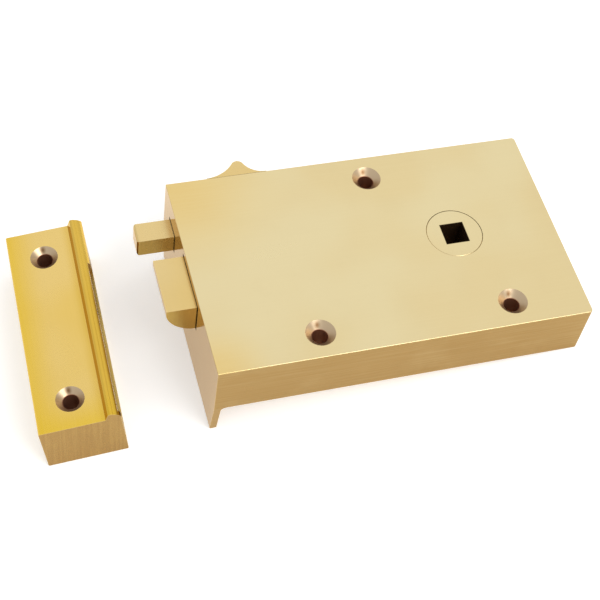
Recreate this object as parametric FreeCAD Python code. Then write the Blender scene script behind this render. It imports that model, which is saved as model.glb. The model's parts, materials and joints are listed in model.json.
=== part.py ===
import FreeCAD, Part
import math
import os

# Rim night latch and its keep, in millimetres. Everything is drawn from the case's lower back corner at the
# forend: X runs from the forend into the door, Y up the door and Z out of the door's face. write() then moves
# the origin to the centre of the case's back.

Vector = FreeCAD.Vector
X_AXIS = Vector(1, 0, 0)
Y_AXIS = Vector(0, 1, 0)
Z_AXIS = Vector(0, 0, 1)

# Fits
SLIDING_GAP = 0.15
RUNNING_GAP = 0.05
SEATED_GAP = 0.02
SLOT_GAP = 0.5
HOLE_END_GAP = 0.5
DRIVER_SLOT = 0.7

# Case
CASE_LENGTH = 125.0
CASE_HEIGHT = 76.0
CASE_DEPTH = 20.5
WALL = 3.0
FOREND_WALL = 4.5
FRONT_PLATE = 2.8
BACK_PLATE = 2.0
CASE_EDGE_RADIUS = 0.2
CASE_END_RADIUS = 1.2
CAVITY_TOP = CASE_DEPTH - FRONT_PLATE
BLIND_HOLE_TOP = CASE_DEPTH - 1.2

# Rebate lip that hangs below the case along the forend
LIP_DROP = 16.0
LIP_ROOT = 2.3
LIP_TIP = 2.3
LIP_END_SLANT = 2.5
LIP_FOOT_RADIUS = 2.0
LIP_TIP_RADIUS = 0.6

# Door fixing screws, countersunk No. 10
FIXING_RADIUS = 2.65
FIXING_HEAD_RADIUS = 4.9
FIXING_PILLAR_RADIUS = 6.0
FIXING_EDGE = 9.0
LOWER_FIXING_X = (35.0, 100.0)
UPPER_FIXING_X = 67.5
BACK_PLATE_HOLE_RADIUS = 3.2

# Back plate screws, M3 countersunk
COVER_SCREW_RADIUS = 1.5
COVER_HEAD_RADIUS = 2.9
COVER_SCREW_LENGTH = 10.0
COVER_SLOT_DEPTH = 0.6
COVER_BOSS_RADIUS = 3.5
COVER_SCREW_PLACES = ((8.0, 12.0), (8.0, 54.0), (117.0, 8.0), (117.0, 68.0))

# Follower and its spindle hole
BACKSET = 90.0
FOLLOWER_Y = 39.0
SPINDLE_SQUARE = 8.1
FOLLOWER_FACE_RADIUS = 9.5
FOLLOWER_FACE_CHAMFER = 0.15
FOLLOWER_SHOULDER_RADIUS = 11.5
FOLLOWER_SHOULDER = 2.4
FOLLOWER_HUB_RADIUS = 7.5
FOLLOWER_FLAT = 6.6
FOLLOWER_REAR_RADIUS = 6.3
BUSH_RADIUS = 8.2
BUSH_FLANGE_RADIUS = 9.6
BUSH_FLANGE = 0.8
CAM_RING_RADIUS = 10.0
CAM_WING_REACH = 13.0
CAM_WING_RADIUS = 3.0
SPACER_RADIUS = 9.4

# Latch bolt
LATCH_BOTTOM = 27.5
LATCH_TOP = 48.0
LATCH_BACK = 6.0
LATCH_FRONT = 17.4
LATCH_THROW = 10.0
LATCH_REAR = 14.0
LATCH_NOSE = 2.5
BEVEL_END_SHARE = 0.15
BEVEL_MIDDLE_SHARE = 0.75
BEVEL_MIDDLE_RISE = 0.42

# Latch tail: a slotted plate that ends in a yoke round the follower
TAIL_Z = 8.6
TAIL_THICKNESS = 2.8
TAIL_HALF_WIDTH = 6.0
TAIL_START = 6.0
TAIL_Y = FOLLOWER_Y
YOKE_LEFT = 61.5
YOKE_INNER_LEFT = 65.5
YOKE_RIGHT = 105.0
YOKE_BRIDGE = 4.0
YOKE_HALF_HEIGHT = 20.5
YOKE_INNER_HALF_HEIGHT = 17.0
YOKE_RECESS_HALF_HEIGHT = 10.5
YOKE_CONTACT_GAP = 0.25
RIVET_RADIUS = 1.2
RIVET_SPACING = 6.0
HEAD_RIVET_X = 10.0

# Posts that guide the tail
GUIDE_POST_X = (30.0, 50.0)
GUIDE_POST_RADIUS = 3.5
GUIDE_SPIGOT_RADIUS = 2.0
GUIDE_SCREW_RADIUS = 1.2
GUIDE_SCREW_HEAD = 1.6

# Latch spring and its two seats
SPRING_RADIUS = 2.9
SPRING_WIRE_RADIUS = 0.45
SPRING_TURNS = 5
SPIGOT_RADIUS = 1.6
CARRIER_FACE = 1.0
CARRIER_HALF_WIDTH = 4.0
CARRIER_SPIGOT = 2.5
SPRING_POST_LENGTH = 2.5
SPRING_POST_SUNK = 1.8

# Night bolt
NIGHT_BOTTOM = 60.4
NIGHT_TOP = 67.9
NIGHT_BACK = 4.6
NIGHT_FRONT = 11.9
NIGHT_THROW = 12.5
NIGHT_TRAVEL = 12.0
NIGHT_REAR = 46.0
NIGHT_TIP_RADIUS = 0.9
NOTCH_X = 18.0
NOTCH_DEPTH = 1.1
NOTCH_HALF_WIDTH = 1.7

# Thumb slide on the case's top edge
STEM_LEFT = 22.0
STEM_LENGTH = 7.0
STEM_BACK = 6.0
STEM_FRONT = 10.5
STEM_SUNK = 1.0
SLIDE_LIFT = 0.05
SLIDE_BASE_LEFT = 10.0
SLIDE_BASE_RIGHT = 42.0
SLIDE_BASE_THICKNESS = 0.7
SLIDE_BASE_BACK = 3.0
SLIDE_BASE_FRONT = 17.5
RIDGE_BACK = 1.0
RIDGE_FRONT = 20.4
RIDGE_FOOT_LEFT = 14.0
RIDGE_FOOT_RIGHT = 34.7
RIDGE_FOOT_THICKNESS = 0.15
RIDGE_CREST_X = 25.6
RIDGE_HEIGHT = 6.0
RIDGE_SHOULDER = 1.8
RIDGE_LEFT_SHOULDER_DROP = 0.8
RIDGE_RIGHT_SHOULDER_DROP = 1.0
RIDGE_LEFT_FLANK_X = 20.4
RIDGE_LEFT_FLANK_RISE = 2.1
RIDGE_RIGHT_FLANK_X = 28.9
RIDGE_RIGHT_FLANK_RISE = 2.6
SLIDE_SCREW_RADIUS = 1.5
SLIDE_SCREW_HEAD_RADIUS = 2.7
SLIDE_SCREW_HEAD = 2.2
SLIDE_SCREW_SUNK = 0.3
SLIDE_SCREW_LENGTH = 11.0

# Bracket that guides the night bolt
GUIDE_LEFT = 37.0
GUIDE_LENGTH = 6.0
GUIDE_FLOOR = 3.3
GUIDE_CHEEK = 1.2
GUIDE_CHEEK_TOP = 66.9
GUIDE_FOOT_BOTTOM = 50.4
GUIDE_FOOT_THICKNESS = 3.0
SMALL_SCREW_RADIUS = 1.5
SMALL_HEAD_RADIUS = 2.6
SMALL_HEAD = 1.8

# Detent leaf spring
DETENT_EYE_X = 33.0
DETENT_EYE_Y = 53.6
DETENT_EYE_RADIUS = 2.3
DETENT_BORE_RADIUS = 1.55
DETENT_BACK = 6.0
DETENT_FRONT = 11.0
DETENT_STRIP = 0.5
DETENT_POST_RADIUS = 2.7
DETENT_BUMP = 0.4
DETENT_BUMP_HALF_WIDTH = 1.6
DETENT_ARM_DROP = 0.7
DETENT_ARM_END = 4.0
DETENT_TIP_DROP = 1.4

# Keep, drawn level with the case as it stands when the door is shut, with its mouth facing the bolts
KEEP_WIDTH = 26.0
KEEP_DEPTH = 20.5
KEEP_BOTTOM = -0.4
KEEP_TOP = 77.1
KEEP_CLEARANCE = 14.0
KEEP_EDGE = 0.3
BEAD_LEFT = 21.0
BEAD_SHOULDER_X = 22.0
BEAD_SHOULDER = 2.5
BEAD_CREST_X = 22.8
BEAD_HEIGHT = 2.75
BEAD_BROW_X = 23.7
BEAD_BROW = 2.45
BEAD_SLOPE_X = 25.1
BEAD_SLOPE = 1.7
BEAD_RIGHT_HEIGHT = 0.6
FRONT_SET_BACK = 0.8
FRONT_SET_BACK_TOP = 59.0
MOUTH_DEPTH = 10.5
MOUTH_BOTTOM = 1.2
MOUTH_TOP = 69.5
MOUTH_BACK = 3.0
MOUTH_FRONT = 17.2
KEEP_HOLE_X = 11.5
KEEP_HOLE_EDGE = 10.0
KEEP_HEAD_RADIUS = 4.6

# The keep lies tipped below the open latch. Turning it back by SWING_ANGLE about this axis makes it level.
SWING_PIVOT = Vector(131.1, 0.0, -106.7)
SWING_LEAN = 8.45
SWING_ANGLE = 7.374

PARTS_FOLDER = "parts"


def box(x0, x1, y0, y1, z0, z1):
    return Part.makeBox(x1 - x0, y1 - y0, z1 - z0, Vector(x0, y0, z0))


def disc(x, y, z0, z1, radius):
    return Part.makeCylinder(radius, z1 - z0, Vector(x, y, z0), Z_AXIS)


def rod_along_x(x0, x1, y, z, radius):
    return Part.makeCylinder(radius, x1 - x0, Vector(x0, y, z), X_AXIS)


def rod_along_y(x, y0, y1, z, radius):
    return Part.makeCylinder(radius, y1 - y0, Vector(x, y0, z), Y_AXIS)


def fuse(shapes):
    return shapes[0].multiFuse(shapes[1:]).removeSplitter()


def cut(shape, tools):
    return shape.cut(Part.makeCompound(tools))


def group(shapes):
    return Part.makeCompound(shapes)


def prism(points, thickness_vector):
    """A flat outline of straight edges, pushed along a vector."""
    outline = Part.makePolygon(points + [points[0]])
    return Part.Face(outline).extrude(thickness_vector)


def rounded(shape, radius, wanted):
    """Rounds the edges for which wanted(edge) is true."""
    return shape.makeFillet(radius, [edge for edge in shape.Edges if wanted(edge)])


def edge_box_is(edge, **limits):
    """True if an edge lies wholly at the given coordinates, as in edge_box_is(edge, x=0)."""
    bounds = edge.BoundBox
    spans = {
        "x": (bounds.XMin, bounds.XMax),
        "y": (bounds.YMin, bounds.YMax),
        "z": (bounds.ZMin, bounds.ZMax),
    }
    tolerance = 1e-4
    return all(abs(end - place) < tolerance for name, place in limits.items() for end in spans[name])


def countersink(x, y, z_face, towards, shaft_radius, head_radius):
    """A 90 degree cone whose wide end is at z_face and whose narrow end is at the shaft."""
    depth = head_radius - shaft_radius
    axis = Vector(0, 0, towards)
    return Part.makeCone(head_radius, shaft_radius, depth, Vector(x, y, z_face), axis)


def write(name, shape):
    moved = shape.copy()
    moved.translate(Vector(-CASE_LENGTH / 2, -CASE_HEIGHT / 2, 0))
    moved.exportStep(os.path.join(PARTS_FOLDER, name + ".step"))


def fixing_places():
    places = [(x, FIXING_EDGE) for x in LOWER_FIXING_X]
    places.append((UPPER_FIXING_X, CASE_HEIGHT - FIXING_EDGE))
    return places


def rebate_lip():
    foot = LIP_ROOT + LIP_FOOT_RADIUS
    middle = LIP_FOOT_RADIUS * math.sqrt(0.5)
    edges = [
        Part.makeLine(Vector(0, 0, 1), Vector(0, 0, -LIP_DROP)),
        Part.makeLine(Vector(0, 0, -LIP_DROP), Vector(LIP_TIP, 0, -LIP_DROP)),
        Part.makeLine(Vector(LIP_TIP, 0, -LIP_DROP), Vector(LIP_ROOT, 0, -LIP_FOOT_RADIUS)),
        Part.Arc(
            Vector(LIP_ROOT, 0, -LIP_FOOT_RADIUS),
            Vector(foot - middle, 0, middle - LIP_FOOT_RADIUS),
            Vector(foot, 0, 0),
        ).toShape(),
        Part.makeLine(Vector(foot, 0, 0), Vector(foot, 0, 1)),
        Part.makeLine(Vector(foot, 0, 1), Vector(0, 0, 1)),
    ]
    lip = Part.Face(Part.Wire(edges)).extrude(Vector(0, CASE_HEIGHT, 0))
    lip = rounded(
        lip,
        LIP_TIP_RADIUS,
        lambda edge: edge_box_is(edge, z=-LIP_DROP) and edge.Length > CASE_HEIGHT / 2,
    )
    beyond = foot + 1
    lower_end = prism(
        [Vector(-1, 0, 0), Vector(-1, LIP_END_SLANT, -LIP_DROP), Vector(-1, -1, -LIP_DROP), Vector(-1, -1, 0)],
        Vector(beyond + 1, 0, 0),
    )
    upper_end = lower_end.mirror(Vector(0, CASE_HEIGHT / 2, 0), Y_AXIS)
    return cut(lip, [lower_end, upper_end])


def case_shell():
    outer = box(0, CASE_LENGTH, 0, CASE_HEIGHT, 0, CASE_DEPTH)
    outer = rounded(
        outer,
        CASE_END_RADIUS,
        lambda edge: edge_box_is(edge, x=CASE_LENGTH) and not edge_box_is(edge, z=0)
        and not edge_box_is(edge, z=CASE_DEPTH),
    )
    outer = rounded(outer, CASE_EDGE_RADIUS, lambda edge: edge_box_is(edge, z=CASE_DEPTH))
    cavity = box(FOREND_WALL, CASE_LENGTH - WALL, WALL, CASE_HEIGHT - WALL, -1, CAVITY_TOP)
    shell = fuse([cut(outer, [cavity]), rebate_lip()])

    pillars = [disc(x, y, BACK_PLATE, CAVITY_TOP, FIXING_PILLAR_RADIUS) for x, y in fixing_places()]
    bosses = [disc(x, y, BACK_PLATE, CAVITY_TOP, COVER_BOSS_RADIUS) for x, y in COVER_SCREW_PLACES]
    shell = fuse([shell] + pillars + bosses)

    holes = [disc(x, y, 0, CASE_DEPTH, FIXING_RADIUS) for x, y in fixing_places()]
    holes += [countersink(x, y, CASE_DEPTH, -1, FIXING_RADIUS, FIXING_HEAD_RADIUS) for x, y in fixing_places()]
    cover_hole_top = COVER_SCREW_LENGTH + HOLE_END_GAP
    holes += [disc(x, y, 0, cover_hole_top, COVER_SCREW_RADIUS + RUNNING_GAP) for x, y in COVER_SCREW_PLACES]
    holes.append(disc(BACKSET, FOLLOWER_Y, CAVITY_TOP - 1, CASE_DEPTH + 1, FOLLOWER_FACE_RADIUS + 2 * RUNNING_GAP))
    holes += [
        disc(x, TAIL_Y, CAVITY_TOP - 1, BLIND_HOLE_TOP, GUIDE_SCREW_RADIUS + RUNNING_GAP) for x in GUIDE_POST_X
    ]
    guide_screw_place = guide_screw_centre()
    holes.append(disc(*guide_screw_place, CAVITY_TOP - 1, BLIND_HOLE_TOP, SMALL_SCREW_RADIUS + RUNNING_GAP))
    holes.append(disc(DETENT_EYE_X, DETENT_EYE_Y, CAVITY_TOP - 1, BLIND_HOLE_TOP, DETENT_BORE_RADIUS))
    holes.append(
        rod_along_x(
            CASE_LENGTH - WALL - 1,
            CASE_LENGTH - WALL + SPRING_POST_SUNK,
            TAIL_Y,
            tail_middle(),
            SPIGOT_RADIUS + SEATED_GAP,
        )
    )
    return cut(shell, holes + bolt_slots())


def bolt_slots():
    latch_slot = box(
        -1,
        FOREND_WALL + 1,
        LATCH_BOTTOM - SLOT_GAP,
        LATCH_TOP + SLOT_GAP,
        LATCH_BACK - SLOT_GAP,
        LATCH_FRONT + SLOT_GAP,
    )
    night_slot = box(
        -1,
        FOREND_WALL + 1,
        NIGHT_BOTTOM - SLOT_GAP,
        NIGHT_TOP + SLOT_GAP,
        NIGHT_BACK - SLOT_GAP,
        NIGHT_FRONT + SLOT_GAP,
    )
    stem_slot = box(
        STEM_LEFT - SLIDING_GAP,
        STEM_LEFT + STEM_LENGTH + NIGHT_TRAVEL + SLIDING_GAP,
        CASE_HEIGHT - WALL - 1,
        CASE_HEIGHT + 1,
        STEM_BACK - SLIDING_GAP,
        STEM_FRONT + SLIDING_GAP,
    )
    return [latch_slot, night_slot, stem_slot]


def tail_middle():
    return TAIL_Z + TAIL_THICKNESS / 2


def guide_screw_centre():
    foot_middle = (GUIDE_FOOT_BOTTOM + NIGHT_BOTTOM - GUIDE_CHEEK) / 2 - 1
    return (GUIDE_LEFT + GUIDE_LENGTH / 2, foot_middle)


def back_plate():
    plate = box(
        FOREND_WALL + RUNNING_GAP,
        CASE_LENGTH - WALL - RUNNING_GAP,
        WALL + RUNNING_GAP,
        CASE_HEIGHT - WALL - RUNNING_GAP,
        0,
        BACK_PLATE - SEATED_GAP,
    )
    holes = [disc(x, y, -1, BACK_PLATE + 1, BACK_PLATE_HOLE_RADIUS) for x, y in fixing_places()]
    holes += [disc(x, y, -1, BACK_PLATE + 1, COVER_SCREW_RADIUS + RUNNING_GAP) for x, y in COVER_SCREW_PLACES]
    cone_shaft = COVER_SCREW_RADIUS + RUNNING_GAP
    holes += [
        countersink(x, y, 0, 1, cone_shaft, COVER_HEAD_RADIUS + RUNNING_GAP) for x, y in COVER_SCREW_PLACES
    ]
    holes.append(disc(BACKSET, FOLLOWER_Y, -1, BACK_PLATE + 1, BUSH_RADIUS + SEATED_GAP))
    return cut(plate, holes)


def back_plate_screws():
    screws = []
    for x, y in COVER_SCREW_PLACES:
        shaft = disc(x, y, 0, COVER_SCREW_LENGTH, COVER_SCREW_RADIUS)
        head = countersink(x, y, 0, 1, COVER_SCREW_RADIUS, COVER_HEAD_RADIUS)
        half = DRIVER_SLOT / 2
        slot = box(x - COVER_HEAD_RADIUS, x + COVER_HEAD_RADIUS, y - half, y + half, -1, COVER_SLOT_DEPTH)
        screws.append(cut(fuse([shaft, head]), [slot]))
    return group(screws)


def follower_bush():
    sleeve = disc(BACKSET, FOLLOWER_Y, 0, BACK_PLATE, BUSH_RADIUS)
    flange = disc(BACKSET, FOLLOWER_Y, BACK_PLATE, BACK_PLATE + BUSH_FLANGE, BUSH_FLANGE_RADIUS)
    bore = disc(BACKSET, FOLLOWER_Y, -1, BACK_PLATE + 2, FOLLOWER_REAR_RADIUS + RUNNING_GAP)
    return cut(fuse([sleeve, flange]), [bore])


def spindle_hole():
    half = SPINDLE_SQUARE / 2
    return box(BACKSET - half, BACKSET + half, FOLLOWER_Y - half, FOLLOWER_Y + half, -1, CASE_DEPTH + 1)


def hub_flats(z0, z1, radius):
    """The two slices that leave the hub 2 * FOLLOWER_FLAT wide."""
    left = box(BACKSET - radius - 1, BACKSET - FOLLOWER_FLAT, FOLLOWER_Y - radius, FOLLOWER_Y + radius, z0, z1)
    return [left, left.mirror(Vector(BACKSET, 0, 0), X_AXIS)]


def follower():
    shoulder_top = CAVITY_TOP - 2 * RUNNING_GAP
    shoulder_bottom = shoulder_top - FOLLOWER_SHOULDER
    rear_top = BACK_PLATE + BUSH_FLANGE + 2 * RUNNING_GAP
    face = disc(BACKSET, FOLLOWER_Y, shoulder_bottom, CASE_DEPTH, FOLLOWER_FACE_RADIUS)
    rim = [edge for edge in face.Edges if edge_box_is(edge, z=CASE_DEPTH)]
    face = face.makeChamfer(FOLLOWER_FACE_CHAMFER, rim)
    shoulder = disc(BACKSET, FOLLOWER_Y, shoulder_bottom, shoulder_top, FOLLOWER_SHOULDER_RADIUS)
    hub = disc(BACKSET, FOLLOWER_Y, rear_top, shoulder_bottom, FOLLOWER_HUB_RADIUS)
    rear = disc(BACKSET, FOLLOWER_Y, RUNNING_GAP, rear_top, FOLLOWER_REAR_RADIUS)
    hub = cut(hub, hub_flats(rear_top - 1, cam_top(), FOLLOWER_HUB_RADIUS))
    return cut(fuse([face, shoulder, hub, rear]), [spindle_hole()])


def cam_top():
    return TAIL_Z + TAIL_THICKNESS


def follower_cam():
    """A ring with one wing up and one down, keyed to the hub's flats."""
    ring = disc(BACKSET, FOLLOWER_Y, TAIL_Z, cam_top(), CAM_RING_RADIUS)
    pieces = [ring]
    for side in (-1, 1):
        tip_y = FOLLOWER_Y + side * CAM_WING_REACH
        pieces.append(disc(BACKSET, tip_y, TAIL_Z, cam_top(), CAM_WING_RADIUS))
        low, high = sorted((FOLLOWER_Y, tip_y))
        pieces.append(box(BACKSET - CAM_WING_RADIUS, BACKSET + CAM_WING_RADIUS, low, high, TAIL_Z, cam_top()))
    bore_radius = FOLLOWER_HUB_RADIUS + SEATED_GAP
    bore = disc(BACKSET, FOLLOWER_Y, TAIL_Z - 1, cam_top() + 1, bore_radius)
    bore = cut(bore, [slice_.translated(Vector(side * SEATED_GAP, 0, 0)) for slice_, side in
                      zip(hub_flats(TAIL_Z - 2, cam_top() + 2, bore_radius), (-1, 1))])
    return cut(fuse(pieces), [bore])


def follower_spacer():
    bottom = BACK_PLATE + BUSH_FLANGE + 2 * RUNNING_GAP
    tube = disc(BACKSET, FOLLOWER_Y, bottom, TAIL_Z, SPACER_RADIUS)
    bore = disc(BACKSET, FOLLOWER_Y, bottom - 1, TAIL_Z + 1, FOLLOWER_HUB_RADIUS + SEATED_GAP)
    return cut(tube, [bore])


def latch_rivet_places():
    half = RIVET_SPACING / 2
    return [(HEAD_RIVET_X, TAIL_Y - half), (HEAD_RIVET_X, TAIL_Y + half)]


def carrier_rivet_place():
    return (YOKE_RIGHT - YOKE_BRIDGE / 2, TAIL_Y)


def latch_bolt():
    """The head: flat in front, with a long round bevel from its nose to its back."""
    bevel_end = -BEVEL_END_SHARE * LATCH_THROW
    bevel_middle_x = -BEVEL_MIDDLE_SHARE * LATCH_THROW
    bevel_middle_z = LATCH_BACK + BEVEL_MIDDLE_RISE * (LATCH_FRONT - LATCH_NOSE - LATCH_BACK)
    nose = Vector(-LATCH_THROW, 0, LATCH_FRONT - LATCH_NOSE)
    edges = [
        Part.makeLine(Vector(LATCH_REAR, 0, LATCH_BACK), Vector(LATCH_REAR, 0, LATCH_FRONT)),
        Part.makeLine(Vector(LATCH_REAR, 0, LATCH_FRONT), Vector(-LATCH_THROW, 0, LATCH_FRONT)),
        Part.makeLine(Vector(-LATCH_THROW, 0, LATCH_FRONT), nose),
        Part.Arc(nose, Vector(bevel_middle_x, 0, bevel_middle_z), Vector(bevel_end, 0, LATCH_BACK)).toShape(),
        Part.makeLine(Vector(bevel_end, 0, LATCH_BACK), Vector(LATCH_REAR, 0, LATCH_BACK)),
    ]
    head = Part.Face(Part.Wire(edges)).extrude(Vector(0, LATCH_TOP - LATCH_BOTTOM, 0))
    head.translate(Vector(0, LATCH_BOTTOM, 0))
    tail_slit = box(
        TAIL_START - SEATED_GAP,
        LATCH_REAR + 1,
        TAIL_Y - TAIL_HALF_WIDTH - SEATED_GAP,
        TAIL_Y + TAIL_HALF_WIDTH + SEATED_GAP,
        TAIL_Z - SEATED_GAP,
        cam_top() + SEATED_GAP,
    )
    rivet_holes = [
        disc(x, y, LATCH_BACK - 1, LATCH_FRONT + 1, RIVET_RADIUS + SEATED_GAP) for x, y in latch_rivet_places()
    ]
    return cut(head, [tail_slit] + rivet_holes)


def plate(x0, x1, y0, y1):
    """A rectangle of the tail's thickness, at the tail's height."""
    return box(x0, x1, y0, y1, TAIL_Z, cam_top())


def latch_tail():
    bar = plate(TAIL_START, YOKE_LEFT + 1, TAIL_Y - TAIL_HALF_WIDTH, TAIL_Y + TAIL_HALF_WIDTH)
    yoke = plate(YOKE_LEFT, YOKE_RIGHT, TAIL_Y - YOKE_HALF_HEIGHT, TAIL_Y + YOKE_HALF_HEIGHT)
    contact_x = BACKSET + CAM_WING_RADIUS + YOKE_CONTACT_GAP
    window = box(
        YOKE_INNER_LEFT,
        contact_x,
        TAIL_Y - YOKE_INNER_HALF_HEIGHT,
        TAIL_Y + YOKE_INNER_HALF_HEIGHT,
        TAIL_Z - 1,
        cam_top() + 1,
    )
    recess = box(
        contact_x - 1,
        YOKE_RIGHT - YOKE_BRIDGE,
        TAIL_Y - YOKE_RECESS_HALF_HEIGHT,
        TAIL_Y + YOKE_RECESS_HALF_HEIGHT,
        TAIL_Z - 1,
        cam_top() + 1,
    )
    cuts = [window, recess]
    slot_radius = GUIDE_SPIGOT_RADIUS + SLIDING_GAP
    for post_x in GUIDE_POST_X:
        slot_start = post_x - LATCH_THROW
        cuts.append(disc(slot_start, TAIL_Y, TAIL_Z - 1, cam_top() + 1, slot_radius))
        cuts.append(disc(post_x, TAIL_Y, TAIL_Z - 1, cam_top() + 1, slot_radius))
        cuts.append(box(slot_start, post_x, TAIL_Y - slot_radius, TAIL_Y + slot_radius, TAIL_Z - 1, cam_top() + 1))
    for x, y in latch_rivet_places() + [carrier_rivet_place()]:
        cuts.append(disc(x, y, TAIL_Z - 1, cam_top() + 1, RIVET_RADIUS + SEATED_GAP))
    return cut(fuse([bar, yoke]), cuts)


def carrier_span():
    return tail_middle() - CARRIER_HALF_WIDTH, tail_middle() + CARRIER_HALF_WIDTH


def spring_carrier():
    """A block that grips the yoke's bridge and centres the spring on a spigot."""
    low, high = carrier_span()
    face_x = YOKE_RIGHT + CARRIER_FACE
    left = YOKE_RIGHT - YOKE_BRIDGE + 2 * RUNNING_GAP
    block = box(left, face_x, TAIL_Y - CARRIER_HALF_WIDTH, TAIL_Y + CARRIER_HALF_WIDTH, low, high)
    spigot = rod_along_x(face_x, face_x + CARRIER_SPIGOT, TAIL_Y, tail_middle(), SPIGOT_RADIUS)
    slit = box(
        left - 1,
        YOKE_RIGHT + SEATED_GAP,
        TAIL_Y - CARRIER_HALF_WIDTH - 1,
        TAIL_Y + CARRIER_HALF_WIDTH + 1,
        TAIL_Z - SEATED_GAP,
        cam_top() + SEATED_GAP,
    )
    rivet_x, rivet_y = carrier_rivet_place()
    rivet_hole = disc(rivet_x, rivet_y, low - 1, high + 1, RIVET_RADIUS + SEATED_GAP)
    return cut(fuse([block, spigot]), [slit, rivet_hole])


def latch_rivets():
    rivets = [disc(x, y, LATCH_BACK, LATCH_FRONT, RIVET_RADIUS) for x, y in latch_rivet_places()]
    low, high = carrier_span()
    rivet_x, rivet_y = carrier_rivet_place()
    rivets.append(disc(rivet_x, rivet_y, low, high, RIVET_RADIUS))
    return group(rivets)


def tail_guide_posts():
    posts = []
    shelf = cam_top() + RUNNING_GAP
    spigot_end = TAIL_Z - 2 * RUNNING_GAP
    for x in GUIDE_POST_X:
        stand_off = disc(x, TAIL_Y, shelf, CAVITY_TOP, GUIDE_POST_RADIUS)
        spigot = disc(x, TAIL_Y, spigot_end, shelf, GUIDE_SPIGOT_RADIUS)
        bore = disc(x, TAIL_Y, spigot_end - 1, CAVITY_TOP + 1, GUIDE_SCREW_RADIUS + RUNNING_GAP)
        posts.append(cut(fuse([stand_off, spigot]), [bore]))
    return group(posts)


def headed_screw(x, y, seat_z, end_z, shaft_radius, head_radius, head):
    """A cheese-head screw that goes up from its seat, with a driver slot in the head."""
    shaft = disc(x, y, seat_z - head / 2, end_z, shaft_radius)
    cap = disc(x, y, seat_z - head, seat_z, head_radius)
    half = DRIVER_SLOT / 2
    slot = box(x - head_radius, x + head_radius, y - half, y + half, seat_z - head - 1, seat_z - head / 2)
    return cut(fuse([shaft, cap]), [slot])


def tail_guide_screws():
    seat = TAIL_Z - 2 * RUNNING_GAP
    end = BLIND_HOLE_TOP - 2 * RUNNING_GAP
    return group([
        headed_screw(x, TAIL_Y, seat, end, GUIDE_SCREW_RADIUS, GUIDE_POST_RADIUS, GUIDE_SCREW_HEAD)
        for x in GUIDE_POST_X
    ])


def spring_post():
    wall = CASE_LENGTH - WALL
    sunk_end = wall + SPRING_POST_SUNK - SEATED_GAP
    return rod_along_x(wall - SPRING_POST_LENGTH, sunk_end, TAIL_Y, tail_middle(), SPIGOT_RADIUS)


def latch_spring():
    """A compression spring, from the carrier's face to the case's end wall."""
    start = YOKE_RIGHT + CARRIER_FACE + SPRING_WIRE_RADIUS + 2 * RUNNING_GAP
    end = CASE_LENGTH - WALL - SPRING_WIRE_RADIUS - 2 * RUNNING_GAP
    length = end - start
    pitch = length / SPRING_TURNS
    helix = Part.makeHelix(pitch, length, SPRING_RADIUS)
    along_wire = Vector(0, SPRING_RADIUS, pitch / (2 * math.pi))
    wire_end = Part.makeCircle(SPRING_WIRE_RADIUS, Vector(SPRING_RADIUS, 0, 0), along_wire)
    coil = Part.Wire(helix).makePipeShell([Part.Wire(wire_end)], True, True)
    coil.rotate(Vector(0, 0, 0), Y_AXIS, 90)
    coil.translate(Vector(start, TAIL_Y, tail_middle()))
    return coil


def notch(x):
    start_z = NIGHT_BACK - 1
    points = [
        Vector(x - NOTCH_HALF_WIDTH, NIGHT_BOTTOM - SEATED_GAP, start_z),
        Vector(x, NIGHT_BOTTOM + NOTCH_DEPTH, start_z),
        Vector(x + NOTCH_HALF_WIDTH, NIGHT_BOTTOM - SEATED_GAP, start_z),
    ]
    return prism(points, Vector(0, 0, NIGHT_FRONT - NIGHT_BACK + 2))


def slide_screw_axis():
    return STEM_LEFT + STEM_LENGTH / 2, (STEM_BACK + STEM_FRONT) / 2


def night_bolt():
    bar = box(-NIGHT_THROW, NIGHT_REAR, NIGHT_BOTTOM, NIGHT_TOP, NIGHT_BACK, NIGHT_FRONT)
    bar = rounded(bar, NIGHT_TIP_RADIUS, lambda edge: edge_box_is(edge, x=-NIGHT_THROW))
    stem_seat = box(
        STEM_LEFT - SEATED_GAP,
        STEM_LEFT + STEM_LENGTH + SEATED_GAP,
        NIGHT_TOP - STEM_SUNK,
        NIGHT_TOP + 1,
        STEM_BACK - SEATED_GAP,
        STEM_FRONT + SEATED_GAP,
    )
    screw_x, screw_z = slide_screw_axis()
    shaft_hole = rod_along_y(screw_x, NIGHT_BOTTOM, NIGHT_TOP, screw_z, SLIDE_SCREW_RADIUS + RUNNING_GAP)
    head_top = NIGHT_BOTTOM + SLIDE_SCREW_SUNK + SLIDE_SCREW_HEAD
    head_hole = rod_along_y(screw_x, NIGHT_BOTTOM - 1, head_top, screw_z, SLIDE_SCREW_HEAD_RADIUS + RUNNING_GAP)
    return cut(bar, [stem_seat, shaft_hole, head_hole, notch(NOTCH_X), notch(NOTCH_X - NIGHT_TRAVEL)])


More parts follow.
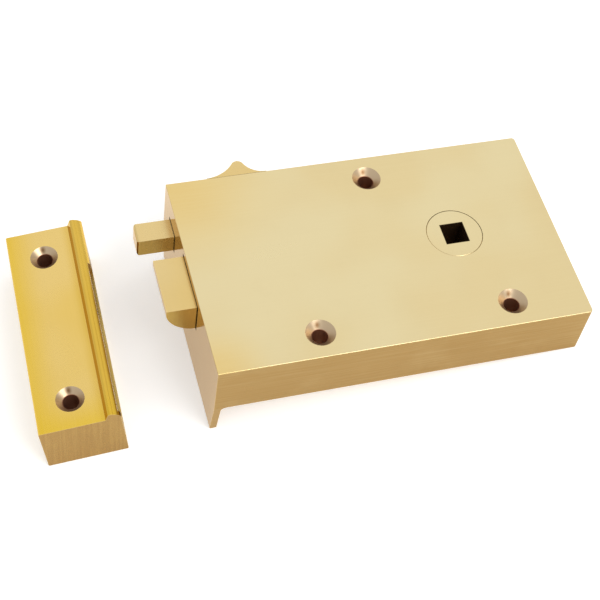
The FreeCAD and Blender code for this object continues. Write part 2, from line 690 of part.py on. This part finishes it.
def thumb_slide():
    """An ogee ridge on a thin base plate, with a stem that goes down through the case's slot."""
    base_y = CASE_HEIGHT + SLIDE_LIFT
    foot_y = base_y + SLIDE_BASE_THICKNESS
    crest_y = CASE_HEIGHT + RIDGE_HEIGHT
    tip_y = base_y + RIDGE_FOOT_THICKNESS
    z = RIDGE_BACK
    left_shoulder = Vector(RIDGE_CREST_X - RIDGE_SHOULDER, crest_y - RIDGE_LEFT_SHOULDER_DROP, z)
    right_shoulder = Vector(RIDGE_CREST_X + RIDGE_SHOULDER, crest_y - RIDGE_RIGHT_SHOULDER_DROP, z)
    left_foot = Vector(RIDGE_FOOT_LEFT, tip_y, z)
    right_foot = Vector(RIDGE_FOOT_RIGHT, tip_y, z)
    left_flank = Vector(RIDGE_LEFT_FLANK_X, CASE_HEIGHT + RIDGE_LEFT_FLANK_RISE, z)
    right_flank = Vector(RIDGE_RIGHT_FLANK_X, CASE_HEIGHT + RIDGE_RIGHT_FLANK_RISE, z)
    edges = [
        Part.makeLine(Vector(RIDGE_FOOT_RIGHT, base_y, z), Vector(RIDGE_FOOT_LEFT, base_y, z)),
        Part.makeLine(Vector(RIDGE_FOOT_LEFT, base_y, z), left_foot),
        Part.Arc(left_foot, left_flank, left_shoulder).toShape(),
        Part.Arc(left_shoulder, Vector(RIDGE_CREST_X, crest_y, z), right_shoulder).toShape(),
        Part.Arc(right_shoulder, right_flank, right_foot).toShape(),
        Part.makeLine(right_foot, Vector(RIDGE_FOOT_RIGHT, base_y, z)),
    ]
    ridge = Part.Face(Part.Wire(edges)).extrude(Vector(0, 0, RIDGE_FRONT - RIDGE_BACK))
    base = box(SLIDE_BASE_LEFT, SLIDE_BASE_RIGHT, base_y, foot_y, SLIDE_BASE_BACK, SLIDE_BASE_FRONT)
    stem = box(STEM_LEFT, STEM_LEFT + STEM_LENGTH, NIGHT_TOP - STEM_SUNK, base_y, STEM_BACK, STEM_FRONT)
    screw_x, screw_z = slide_screw_axis()
    screw_top = NIGHT_BOTTOM + SLIDE_SCREW_LENGTH + HOLE_END_GAP
    hole = rod_along_y(screw_x, NIGHT_TOP - STEM_SUNK - 1, screw_top, screw_z, SLIDE_SCREW_RADIUS + RUNNING_GAP)
    return cut(fuse([ridge, base, stem]), [hole])


def thumb_slide_screw():
    screw_x, screw_z = slide_screw_axis()
    bottom = NIGHT_BOTTOM + SLIDE_SCREW_SUNK
    head = rod_along_y(screw_x, bottom, bottom + SLIDE_SCREW_HEAD, screw_z, SLIDE_SCREW_HEAD_RADIUS)
    shaft = rod_along_y(screw_x, bottom, NIGHT_BOTTOM + SLIDE_SCREW_LENGTH, screw_z, SLIDE_SCREW_RADIUS)
    slot = box(
        screw_x - SLIDE_SCREW_HEAD_RADIUS,
        screw_x + SLIDE_SCREW_HEAD_RADIUS,
        bottom - 1,
        bottom + SLIDE_SCREW_HEAD / 3,
        screw_z - DRIVER_SLOT / 2,
        screw_z + DRIVER_SLOT / 2,
    )
    return cut(fuse([head, shaft]), [slot])


def night_bolt_guide():
    """A U-shaped bracket under the bolt, open towards the thumb slide's stem."""
    right = GUIDE_LEFT + GUIDE_LENGTH
    floor_bottom = NIGHT_BOTTOM - GUIDE_FLOOR
    block = box(GUIDE_LEFT, right, floor_bottom, GUIDE_CHEEK_TOP, NIGHT_BACK - GUIDE_CHEEK, CAVITY_TOP)
    foot = box(GUIDE_LEFT, right, GUIDE_FOOT_BOTTOM, floor_bottom, CAVITY_TOP - GUIDE_FOOT_THICKNESS, CAVITY_TOP)
    channel = box(
        GUIDE_LEFT - 1,
        right + 1,
        NIGHT_BOTTOM - SLIDING_GAP,
        CASE_HEIGHT,
        NIGHT_BACK - SLIDING_GAP,
        NIGHT_FRONT + SLIDING_GAP,
    )
    x, y = guide_screw_centre()
    hole = disc(x, y, CAVITY_TOP - GUIDE_FOOT_THICKNESS - 1, CAVITY_TOP + 1, SMALL_SCREW_RADIUS + RUNNING_GAP)
    return cut(fuse([block, foot]), [channel, hole])


def guide_screw():
    x, y = guide_screw_centre()
    seat = CAVITY_TOP - GUIDE_FOOT_THICKNESS
    end = BLIND_HOLE_TOP - 2 * RUNNING_GAP
    return headed_screw(x, y, seat, end, SMALL_SCREW_RADIUS, SMALL_HEAD_RADIUS, SMALL_HEAD)


def strip(points, thickness, z0, z1):
    """A thin strip on edge that follows straight runs between points, rounded at each bend."""
    pieces = []
    for start, end in zip(points, points[1:]):
        run = Vector(end[0] - start[0], end[1] - start[1], 0)
        bar = Part.makeBox(run.Length, thickness, z1 - z0, Vector(0, -thickness / 2, 0))
        bar.rotate(Vector(0, 0, 0), Z_AXIS, math.degrees(math.atan2(run.y, run.x)))
        bar.translate(Vector(start[0], start[1], z0))
        pieces.append(bar)
        pieces.append(disc(end[0], end[1], z0, z1, thickness / 2))
    return pieces


def detent_spring():
    """An eye round the post, then a springy arm with a bump that sits in the bolt's notch."""
    arm = [
        (DETENT_EYE_X, DETENT_EYE_Y + DETENT_EYE_RADIUS - DETENT_STRIP / 2),
        (NOTCH_X + DETENT_ARM_END, NIGHT_BOTTOM - (DETENT_ARM_DROP + DETENT_TIP_DROP) / 2),
        (NOTCH_X + DETENT_BUMP_HALF_WIDTH, NIGHT_BOTTOM - DETENT_ARM_DROP),
        (NOTCH_X, NIGHT_BOTTOM + DETENT_BUMP),
        (NOTCH_X - DETENT_BUMP_HALF_WIDTH, NIGHT_BOTTOM - DETENT_ARM_DROP),
        (NOTCH_X - DETENT_ARM_END, NIGHT_BOTTOM - DETENT_TIP_DROP),
    ]
    eye = disc(DETENT_EYE_X, DETENT_EYE_Y, DETENT_BACK, DETENT_FRONT, DETENT_EYE_RADIUS)
    bore = disc(DETENT_EYE_X, DETENT_EYE_Y, DETENT_BACK - 1, DETENT_FRONT + 1, DETENT_BORE_RADIUS)
    return cut(fuse([eye] + strip(arm, DETENT_STRIP, DETENT_BACK, DETENT_FRONT)), [bore])


def detent_post():
    post = disc(DETENT_EYE_X, DETENT_EYE_Y, DETENT_FRONT, CAVITY_TOP, DETENT_POST_RADIUS)
    bore = disc(DETENT_EYE_X, DETENT_EYE_Y, DETENT_FRONT - 1, CAVITY_TOP + 1, DETENT_BORE_RADIUS)
    return cut(post, [bore])


def detent_screw():
    end = BLIND_HOLE_TOP - 2 * RUNNING_GAP
    place = (DETENT_EYE_X, DETENT_EYE_Y)
    return headed_screw(*place, DETENT_BACK, end, SMALL_SCREW_RADIUS, SMALL_HEAD_RADIUS, SMALL_HEAD)


def keep_profile(left):
    """The keep's section: a block whose front rises in a bead with a steep left flank and a long right slope."""
    right = left + KEEP_WIDTH
    y = KEEP_BOTTOM

    def on_front(x, height):
        return Vector(left + x, y, KEEP_DEPTH + height)

    shoulder = on_front(BEAD_SHOULDER_X, BEAD_SHOULDER)
    brow = on_front(BEAD_BROW_X, BEAD_BROW)
    right_top = on_front(KEEP_WIDTH, BEAD_RIGHT_HEIGHT)
    corners = [
        right_top,
        Vector(right, y, KEEP_EDGE),
        Vector(right - KEEP_EDGE, y, 0),
        Vector(left + KEEP_EDGE, y, 0),
        Vector(left, y, KEEP_EDGE),
        Vector(left, y, KEEP_DEPTH - KEEP_EDGE),
        Vector(left + KEEP_EDGE, y, KEEP_DEPTH),
        on_front(BEAD_LEFT, 0),
        shoulder,
    ]
    edges = [Part.makeLine(start, end) for start, end in zip(corners, corners[1:])]
    edges.append(Part.Arc(shoulder, on_front(BEAD_CREST_X, BEAD_HEIGHT), brow).toShape())
    edges.append(Part.Arc(brow, on_front(BEAD_SLOPE_X, BEAD_SLOPE), right_top).toShape())
    return Part.Face(Part.Wire(edges))


def keep():
    left = -KEEP_CLEARANCE - KEEP_WIDTH
    right = -KEEP_CLEARANCE
    body = keep_profile(left).extrude(Vector(0, KEEP_TOP - KEEP_BOTTOM, 0))
    above = KEEP_DEPTH + BEAD_HEIGHT + 1
    mouth = box(right - MOUTH_DEPTH, right + 1, MOUTH_BOTTOM, MOUTH_TOP, MOUTH_BACK, MOUTH_FRONT)
    set_back = box(
        right - FRONT_SET_BACK,
        right + 1,
        MOUTH_BOTTOM,
        FRONT_SET_BACK_TOP,
        MOUTH_BACK,
        above,
    )
    cuts = [mouth, set_back]
    for y in (KEEP_HOLE_EDGE, CASE_HEIGHT - KEEP_HOLE_EDGE):
        cuts.append(disc(left + KEEP_HOLE_X, y, -1, above, FIXING_RADIUS))
        cuts.append(countersink(left + KEEP_HOLE_X, y, KEEP_DEPTH, -1, FIXING_RADIUS, KEEP_HEAD_RADIUS))
    body = cut(body, cuts)
    lean = math.radians(SWING_LEAN)
    body.rotate(SWING_PIVOT, Vector(0, math.cos(lean), math.sin(lean)), -SWING_ANGLE)
    return body


BUILDERS = (
    case_shell,
    back_plate,
    back_plate_screws,
    follower_bush,
    tail_guide_posts,
    tail_guide_screws,
    night_bolt_guide,
    guide_screw,
    detent_post,
    detent_spring,
    detent_screw,
    spring_post,
    latch_spring,
    latch_bolt,
    latch_tail,
    spring_carrier,
    latch_rivets,
    follower,
    follower_cam,
    follower_spacer,
    night_bolt,
    thumb_slide,
    thumb_slide_screw,
    keep,
)

os.makedirs(PARTS_FOLDER, exist_ok=True)
for build in BUILDERS:
    write(build.__name__, build())
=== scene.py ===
import json
import math

import bpy
from mathutils import Matrix, Vector


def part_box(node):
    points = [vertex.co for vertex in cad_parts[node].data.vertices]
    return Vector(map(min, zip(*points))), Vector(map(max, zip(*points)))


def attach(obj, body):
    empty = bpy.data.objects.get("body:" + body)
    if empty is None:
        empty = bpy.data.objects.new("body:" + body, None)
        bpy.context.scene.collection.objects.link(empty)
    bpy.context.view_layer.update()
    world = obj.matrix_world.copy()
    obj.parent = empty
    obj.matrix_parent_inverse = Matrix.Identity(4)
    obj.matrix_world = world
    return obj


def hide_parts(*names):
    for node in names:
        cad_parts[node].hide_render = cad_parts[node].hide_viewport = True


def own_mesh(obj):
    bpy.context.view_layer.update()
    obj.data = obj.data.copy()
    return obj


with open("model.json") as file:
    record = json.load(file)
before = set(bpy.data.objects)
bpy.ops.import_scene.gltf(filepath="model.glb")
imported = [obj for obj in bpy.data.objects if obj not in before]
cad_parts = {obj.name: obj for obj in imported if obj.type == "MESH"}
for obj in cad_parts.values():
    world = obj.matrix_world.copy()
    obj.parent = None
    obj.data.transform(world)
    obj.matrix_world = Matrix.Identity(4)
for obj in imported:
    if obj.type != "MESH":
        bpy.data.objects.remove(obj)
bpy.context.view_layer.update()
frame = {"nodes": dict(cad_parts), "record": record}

MM = 0.001
Z = Vector((0, 0, 1))

# How far past its bolt a slot's painted shade reaches, how far outside the forend it starts, and how deep it
# runs
SLOT_MARGIN = 0.7 * MM
SLOT_START = 1.0 * MM
SLOT_DEPTH = 5.0 * MM

# Half the spindle hole, with a little to spare, how deep it runs, and where its painted shade starts
SPINDLE_HALF = 4.06 * MM
SPINDLE_DEPTH = 30 * MM
SPINDLE_START = 0.05 * MM

# Brass tones that every brass piece shares, and the roughness that goes with them
WORN_TONE = (0.86, 0.68, 0.34)
COUNTERSINK_TONE = (0.56, 0.43, 0.28)
COUNTERSINK_ROUGHNESS = 0.36
STREAK_TONE = (0.20, 0.11, 0.05)
BORE_TONE = (0.42, 0.21, 0.13)
BORE_ROUGHNESS = 0.55
# Painted shade for the walls of the bolt slots and the spindle hole
RECESS_SHADE_TONE = (0.075, 0.04, 0.02)
RECESS_ROUGHNESS = 0.6
END_ROUGHNESS = 0.14
GRAZING_TINT = (1.0, 0.90, 0.74, 1.0)

# Where a countersink's streak and its edges lie, as shares of its bore's radius
HEAD_SHARES = (2.2, 2.0)
STREAK_OFFSET = 1.4
STREAK_REACH = 0.55
BORE_SHARES = (1.08, 1.01)

# Studio
WHITE = (1.0, 1.0, 1.0, 1.0)
TABLE_WHITE = (0.93, 0.93, 0.93, 1.0)
TABLE_SIZE = 6.0
TABLE_GLOW = 0.3
TABLE_DROP = 0.1 * MM
WORLD_STRENGTH = 0.85
SOFTBOXES = (
    ("back_softbox", (0.25, 0.75, 0.95), (1.3, 0.9), 0.7),
    ("front_softbox", (0.45, -0.75, 1.0), (0.8, 0.8), 9.0),
)

# Camera
SENSOR_MM = 36.0
LENS_MM = 85.0
CLIP = (0.01, 20.0)
CAMERA_PLACE = Vector((-0.1376, -0.25615, 0.38363))
CAMERA_AIM = Vector((-0.02755, -0.00881, 0.010))
CAMERA_ROLL = 10.823

MOUNTS = {mount["name"]: mount for mount in frame["record"]["mounts"]}


# ---------------------------------------------------------------- shader node helpers

def add(tree, kind, inputs=None, **settings):
    """Adds a shader node. An input is a constant or another node's output."""
    node = tree.nodes.new("ShaderNode" + kind)
    for name, value in settings.items():
        setattr(node, name, value)
    for key, value in (inputs or {}).items():
        if isinstance(value, bpy.types.NodeSocket):
            tree.links.new(value, node.inputs[key])
        else:
            node.inputs[key].default_value = value
    return node


def position(tree):
    """The point on the piece, in metres in the row frame at rest."""
    return add(tree, "TexCoord").outputs["Object"]


def math_node(tree, operation, a, b):
    return add(tree, "Math", {0: a, 1: b}, operation=operation).outputs[0]


def product(tree, a, b):
    return math_node(tree, "MULTIPLY", a, b)


def stretch(tree, vector, factors):
    return add(tree, "VectorMath", {0: vector, 1: factors}, operation="MULTIPLY").outputs[0]


def noise(tree, vector, scale, detail=3.0, roughness=0.5):
    inputs = {"Vector": vector, "Scale": scale, "Detail": detail, "Roughness": roughness}
    return add(tree, "TexNoise", inputs).outputs["Fac"]


def span(tree, value, low, high, to_low=0.0, to_high=1.0):
    """Maps low..high to to_low..to_high with a smooth ease at both ends."""
    inputs = {"Value": value, "From Min": low, "From Max": high, "To Min": to_low, "To Max": to_high}
    return add(tree, "MapRange", inputs, interpolation_type="SMOOTHSTEP").outputs["Result"]


def mix(tree, factor, a, b):
    node = add(tree, "Mix", data_type="RGBA")
    for socket, value in ((node.inputs[0], factor), (node.inputs[6], a), (node.inputs[7], b)):
        if isinstance(value, bpy.types.NodeSocket):
            tree.links.new(value, socket)
        elif socket.type == "RGBA":
            socket.default_value = (*value, 1.0)
        else:
            socket.default_value = value
    return node.outputs[2]


def mix_value(tree, factor, a, b):
    node = add(tree, "Mix", data_type="FLOAT")
    for socket, value in ((node.inputs[0], factor), (node.inputs[2], a), (node.inputs[3], b)):
        if isinstance(value, bpy.types.NodeSocket):
            tree.links.new(value, socket)
        else:
            socket.default_value = value
    return node.outputs[0]


def facing(tree, direction, low, high):
    """1 where the surface faces along a direction, 0 where it doesn't."""
    normal = add(tree, "NewGeometry").outputs["Normal"]
    dot = add(tree, "VectorMath", {0: normal, 1: direction}, operation="DOT_PRODUCT").outputs["Value"]
    return span(tree, dot, low, high)


def distance_to_axis(tree, point, axis):
    """How far the surface is from a line, in metres."""
    offset = add(tree, "VectorMath", {0: position(tree), 1: point}, operation="SUBTRACT").outputs[0]
    across = add(tree, "VectorMath", {0: offset, 1: axis}, operation="CROSS_PRODUCT").outputs[0]
    return add(tree, "VectorMath", {0: across}, operation="LENGTH").outputs["Value"]


def highest(tree, values):
    result = values[0]
    for value in values[1:]:
        result = math_node(tree, "MAXIMUM", result, value)
    return result


def inside_box(tree, low, high, margin):
    """1 on the surface inside a box, 0 more than a margin outside it."""
    centre = (Vector(low) + Vector(high)) / 2
    half = (Vector(high) - Vector(low)) / 2
    offset = add(tree, "VectorMath", {0: position(tree), 1: centre}, operation="SUBTRACT").outputs[0]
    size = add(tree, "VectorMath", {0: offset}, operation="ABSOLUTE").outputs[0]
    past = add(tree, "VectorMath", {0: size, 1: half}, operation="SUBTRACT").outputs[0]
    parts = add(tree, "SeparateXYZ", {0: past}).outputs
    furthest = highest(tree, [parts["X"], parts["Y"], parts["Z"]])
    return span(tree, furthest, margin, 0.0)


def edge_wear(tree, radius, reach):
    """1 along convex and concave edges, fading to 0 on the flats."""
    normal = add(tree, "NewGeometry").outputs["Normal"]
    soft = add(tree, "Bevel", {"Radius": radius}, samples=6).outputs["Normal"]
    dot = add(tree, "VectorMath", {0: normal, 1: soft}, operation="DOT_PRODUCT").outputs["Value"]
    return span(tree, dot, 1.0, 1.0 - reach)


def new_material(name):
    material = bpy.data.materials.new(name)
    material.use_nodes = True
    return material, material.node_tree, material.node_tree.nodes["Principled BSDF"]


def put_on(material, *nodes):
    for node in nodes:
        piece = frame["nodes"][node]
        for index in range(len(piece.material_slots)):
            piece.material_slots[index].material = material


# ---------------------------------------------------------------- materials

def brass(name, front, warm, side, end, holes=(), shaded_recesses=(), painted_reflections=(), finish=0.32,
          grain=(40, 2600, 2600)):
    """Cast brass: a satin front lightened as painted sheen, sides and ends darkened as painted shade,
    smoother ends, turned countersinks and brown bores.

    front and warm are the front face's two tones, lightened as painted sheen; side is the darker tone of
    faces along Y and end of faces along X, both painted shade.
    holes are (point, axis, radius) of countersunk bores. The recess boxes are (low, high) boxes whose walls
    get a painted shade.
    The reflection lines are (point, axis, reach, colour) of lines along which a yellow reflection is painted,
    fading out at reach.
    grain is how the brushing is stretched."""
    material, tree, shader = new_material(name)
    place = position(tree)

    cloud = noise(tree, place, 26.0, 1.5)
    stain = noise(tree, place, 75.0, 3.0, 0.55)
    brushing = noise(tree, stretch(tree, place, grain), 1.0, 2.0, 0.65)
    grit = noise(tree, place, 1400.0, 2.0, 0.6)

    tone = mix(tree, span(tree, cloud, 0.36, 0.66), front, warm)
    # Painted reflection: yellow along lines, fading out at their reach.
    for point, axis, reach, colour in painted_reflections:
        distance = distance_to_axis(tree, point, axis)
        tone = mix(tree, span(tree, distance, reach, 0.0, 0.0, 0.9), tone, colour)
    # Painted light: front-facing surfaces take the front tones, lightened as painted sheen, and faces along Y
    # and X take the darker side and end tones as painted shade.
    front_sheen_mask = facing(tree, (0, 0, 1), 0.25, 0.85)
    towards_end = highest(tree, [facing(tree, (side_x, 0, 0), 0.6, 0.9) for side_x in (-1, 1)])
    shaded_flank = mix(tree, towards_end, side, end)
    tone = mix(tree, front_sheen_mask, shaded_flank, tone)
    tone = mix(tree, span(tree, stain, 0.45, 0.8, 0.0, 0.10), tone, tuple(0.85 * c for c in warm))
    scratch_tone = tuple(min(1.0, 1.12 * c) for c in front)
    tone = mix(tree, span(tree, brushing, 0.35, 0.75, 0.0, 0.08), tone, scratch_tone)
    wear = edge_wear(tree, 0.5 * MM, 0.12)
    tone = mix(tree, product(tree, wear, 0.25), tone, WORN_TONE)

    rough = span(tree, cloud, 0.3, 0.7, finish * 0.9, finish * 1.1)
    rough = mix_value(tree, towards_end, rough, END_ROUGHNESS)
    rough = math_node(tree, "ADD", rough, span(tree, grit, 0.35, 0.75, -0.015, 0.02))
    slope = product(tree, facing(tree, (0, 0, 1), 0.55, 0.62), facing(tree, (0, 0, 1), 0.86, 0.8))
    for point, axis, radius in holes:
        distance = distance_to_axis(tree, point, axis)
        head_edge = [share * radius for share in HEAD_SHARES]
        turned = product(tree, slope, span(tree, distance, *head_edge))
        tone = mix(tree, turned, tone, COUNTERSINK_TONE)
        rough = mix_value(tree, turned, rough, COUNTERSINK_ROUGHNESS)
        from_streak = distance_to_axis(tree, point + Vector((0, STREAK_OFFSET * radius, 0)), axis)
        streak = product(tree, turned, span(tree, from_streak, STREAK_REACH * radius, 0.0))
        tone = mix(tree, streak, tone, STREAK_TONE)
        bore_edge = [share * radius for share in BORE_SHARES]
        bore = span(tree, distance, *bore_edge)
        tone = mix(tree, bore, tone, BORE_TONE)
        rough = mix_value(tree, bore, rough, BORE_ROUGHNESS)
    # Painted shade: near-black walls in the slots and the spindle hole.
    for low, high in shaded_recesses:
        recess_shade = inside_box(tree, low, high, 0.15 * MM)
        tone = mix(tree, recess_shade, tone, RECESS_SHADE_TONE)
        rough = mix_value(tree, recess_shade, rough, RECESS_ROUGHNESS)
    tree.links.new(tone, shader.inputs["Base Color"])
    tree.links.new(rough, shader.inputs["Roughness"])
    shader.inputs["Metallic"].default_value = 1.0
    shader.inputs["Specular Tint"].default_value = GRAZING_TINT

    brush_bump = add(tree, "Bump", {"Height": brushing, "Strength": 0.08, "Distance": 0.03 * MM})
    cast = {"Height": stain, "Strength": 0.06, "Distance": 0.15 * MM, "Normal": brush_bump.outputs[0]}
    cast_bump = add(tree, "Bump", cast)
    tree.links.new(cast_bump.outputs[0], shader.inputs["Normal"])
    return material


def metal(name, light, dark, roughness, grain):
    """A worked metal for the inner parts: streaked along its grain, a little mottled, worn on its edges."""
    material, tree, shader = new_material(name)
    place = position(tree)
    streaks = noise(tree, stretch(tree, place, grain), 1.0, 3.0, 0.65)
    mottle = noise(tree, place, 240.0, 4.0, 0.6)
    tone = mix(tree, span(tree, mottle, 0.35, 0.7), light, dark)
    tone = mix(tree, span(tree, streaks, 0.35, 0.7, 0.0, 0.3), tone, tuple(0.75 * c for c in light))
    wear = product(tree, edge_wear(tree, 0.3 * MM, 0.12), 0.5)
    tone = mix(tree, wear, tone, tuple(min(1.0, 1.35 * c) for c in light))
    tree.links.new(tone, shader.inputs["Base Color"])
    rough = span(tree, streaks, 0.3, 0.75, roughness * 0.8, roughness * 1.25)
    tree.links.new(rough, shader.inputs["Roughness"])
    shader.inputs["Metallic"].default_value = 1.0
    bump = add(tree, "Bump", {"Height": streaks, "Strength": 0.15, "Distance": 0.04 * MM})
    tree.links.new(bump.outputs[0], shader.inputs["Normal"])
    return material


def bore_of(name):
    mount = MOUNTS[name]
    return Vector(mount["pos_m"]), Vector(mount["axis"]), mount["dims"]["r_mm"] * MM


def line_bores(name):
    """The bores of a two-hole pattern whose holes lie along X."""
    mount = MOUNTS[name]
    half = mount["dims"]["spacing_x_mm"] * MM / 2
    middle = Vector(mount["pos_m"])
    axis = Vector(mount["axis"])
    radius = mount["dims"]["hole_r_mm"] * MM
    return [(middle + Vector((side * half, 0, 0)), axis, radius) for side in (-1, 1)]


def slot_boxes():
    """The two slots that the bolts come out of, each a little larger than its bolt; their walls and rims get
    a painted shade.
    """
    outer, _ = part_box("case_shell")
    boxes = []
    for bolt in ("latch_bolt", "night_bolt"):
        low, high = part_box(bolt)
        start = (outer.x - SLOT_START, low.y - SLOT_MARGIN, low.z - SLOT_MARGIN)
        stop = (outer.x + SLOT_DEPTH, high.y + SLOT_MARGIN, high.z + SLOT_MARGIN)
        boxes.append((start, stop))
    return boxes


def spindle_box():
    mouth = Vector(MOUNTS["spindle_socket"]["pos_m"])
    start = mouth - Vector((SPINDLE_HALF, SPINDLE_HALF, SPINDLE_DEPTH))
    stop = mouth + Vector((SPINDLE_HALF, SPINDLE_HALF, -SPINDLE_START))
    return start, stop


def latch_coil(material):
    """The latch's coil spring, copied and fixed to the case; the real spring shortens against the case's end
    wall as the latch is drawn in.
    """
    coil = bpy.data.objects.new("latch_coil", frame["nodes"]["latch_spring"].data.copy())
    bpy.context.collection.objects.link(coil)
    coil.data.materials.clear()
    coil.data.materials.append(material)
    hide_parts("latch_spring")
    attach(coil, "case")
    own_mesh(coil)


def dress_the_case():
    low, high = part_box("case_shell")
    # The front tones carry a painted sheen; the darker side and end tones are painted shade.
    front, warm = (0.765, 0.65, 0.375), (0.755, 0.615, 0.33)
    side, end = (0.355, 0.222, 0.079), (0.495, 0.335, 0.172)
    # A painted yellow reflection near the case's two corners at its low-X end.
    reflection_yellow = (0.78, 0.575, 0.225)
    bores = [bore_of("door_screw_upper")] + line_bores("door_screws_lower")
    painted_reflections = [
        (Vector((low.x, high.y, 0)), Z, 45 * MM, reflection_yellow),
        (Vector((low.x, low.y, 0)), Z, 22 * MM, reflection_yellow),
    ]
    put_on(brass("case_brass", front, warm, side, end, bores, slot_boxes(), painted_reflections), "case_shell")
    turned = brass(
        "follower_brass", front, warm, side, end, shaded_recesses=[spindle_box()], grain=(2600, 60, 2600),
    )
    put_on(turned, "follower")


def dress_the_bolts():
    # The front tones carry a painted sheen; the darker side and end tones are painted shade.
    front, warm = (0.72, 0.52, 0.20), (0.745, 0.565, 0.26)
    side, end = (0.465, 0.305, 0.078), (0.60, 0.42, 0.17)
    material = brass("bolt_brass", front, warm, side, end, finish=0.24, grain=(1400, 60, 60))
    put_on(material, "latch_bolt", "night_bolt", "thumb_slide")


def dress_the_keep():
    """The keep's brass has a painted yellow reflection along its outer edge, its lower end and its bead."""
    bores = [bore_of("keep_screw_lower"), bore_of("keep_screw_upper")]
    lower, out, _ = bores[0]
    up = (bores[1][0] - lower).normalized()
    across = up.cross(out)
    outer_edge = lower - across * 13.0 * MM + out * 11.5 * MM
    lower_end = lower - up * 12.0 * MM + out * 11.5 * MM
    bead = lower + across * 12.0 * MM + out * 12.5 * MM
    # The front tones carry a painted sheen; the darker side and end tones are painted shade.
    front, warm = (0.80, 0.58, 0.20), (0.80, 0.56, 0.15)
    side, end = (0.35, 0.212, 0.073), (0.62, 0.42, 0.11)
    # Painted yellow reflections along the keep's outer edge, lower end and bead.
    reflected_yellow, reflected_deep_yellow = (0.79, 0.53, 0.05), (0.66, 0.41, 0.028)
    painted_reflections = [
        (outer_edge, up, 12 * MM, reflected_yellow),
        (lower_end, across, 16 * MM, reflected_yellow),
        (bead, up, 6 * MM, reflected_deep_yellow),
    ]
    material = brass(
        "keep_brass", front, warm, side, end, bores, painted_reflections=painted_reflections, finish=0.28, grain=(1400, 40, 40),
    )
    put_on(material, "keep")


def dress_the_works():
    inner = metal("machined_brass", (0.72, 0.52, 0.24), (0.58, 0.40, 0.17), 0.34, (60, 1500, 1500))
    put_on(
        inner, "back_plate", "follower_bush", "tail_guide_posts", "night_bolt_guide", "spring_post",
        "spring_carrier", "latch_rivets", "follower_spacer", "detent_post",
    )
    steel = metal("bright_steel", (0.56, 0.57, 0.58), (0.42, 0.43, 0.44), 0.32, (60, 1800, 1800))
    put_on(
        steel, "back_plate_screws", "tail_guide_screws", "guide_screw", "detent_screw", "latch_tail",
        "follower_cam", "thumb_slide_screw",
    )
    spring = metal("blued_spring_steel", (0.16, 0.18, 0.24), (0.09, 0.10, 0.14), 0.28, (900, 900, 900))
    put_on(spring, "latch_spring", "detent_spring")
    latch_coil(spring)


# ---------------------------------------------------------------- table, lights and camera

def table_top():
    """A white table under the lip's edge, the case's far back edge and the keep."""
    low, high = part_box("case_shell")
    slope = math.atan2(-low.z, high.x - low.x)
    bpy.ops.mesh.primitive_plane_add(size=TABLE_SIZE)
    table = bpy.context.object
    table.name = "table_top"
    place = Vector((high.x, 0, -TABLE_DROP))
    table.matrix_world = Matrix.Translation(place) @ Matrix.Rotation(-slope, 4, "Y")
    material, _, shader = new_material("white_table")
    shader.inputs["Base Color"].default_value = TABLE_WHITE
    shader.inputs["Roughness"].default_value = 0.9
    shader.inputs["Specular IOR Level"].default_value = 0.1
    shader.inputs["Emission Color"].default_value = WHITE
    shader.inputs["Emission Strength"].default_value = TABLE_GLOW
    table.data.materials.append(material)


def soft_light(name, location, size, watts):
    """An area light that points at the middle of the case's back."""
    data = bpy.data.lights.new(name, "AREA")
    data.shape = "RECTANGLE"
    data.size, data.size_y = size
    data.energy = watts
    light = bpy.data.objects.new(name, data)
    bpy.context.collection.objects.link(light)
    light.location = location
    light.rotation_euler = (-Vector(location)).to_track_quat("-Z", "Y").to_euler()


def studio():
    world = bpy.data.worlds.new("studio")
    bpy.context.scene.world = world
    world.use_nodes = True
    background = world.node_tree.nodes["Background"]
    background.inputs["Color"].default_value = WHITE
    background.inputs["Strength"].default_value = WORLD_STRENGTH
    for name, location, size, watts in SOFTBOXES:
        soft_light(name, location, size, watts)


def camera():
    data = bpy.data.cameras.new("camera")
    data.sensor_width = SENSOR_MM
    data.lens = LENS_MM
    data.clip_start, data.clip_end = CLIP
    view = bpy.data.objects.new("camera", data)
    bpy.context.collection.objects.link(view)
    turn = (CAMERA_AIM - CAMERA_PLACE).to_track_quat("-Z", "Y").to_matrix().to_4x4()
    roll = Matrix.Rotation(math.radians(CAMERA_ROLL), 4, "Z")
    view.matrix_world = Matrix.Translation(CAMERA_PLACE) @ turn @ roll
    bpy.context.scene.camera = view


dress_the_case()
dress_the_bolts()
dress_the_keep()
dress_the_works()
table_top()
studio()
camera()
bpy.context.scene.view_settings.view_transform = "Standard"
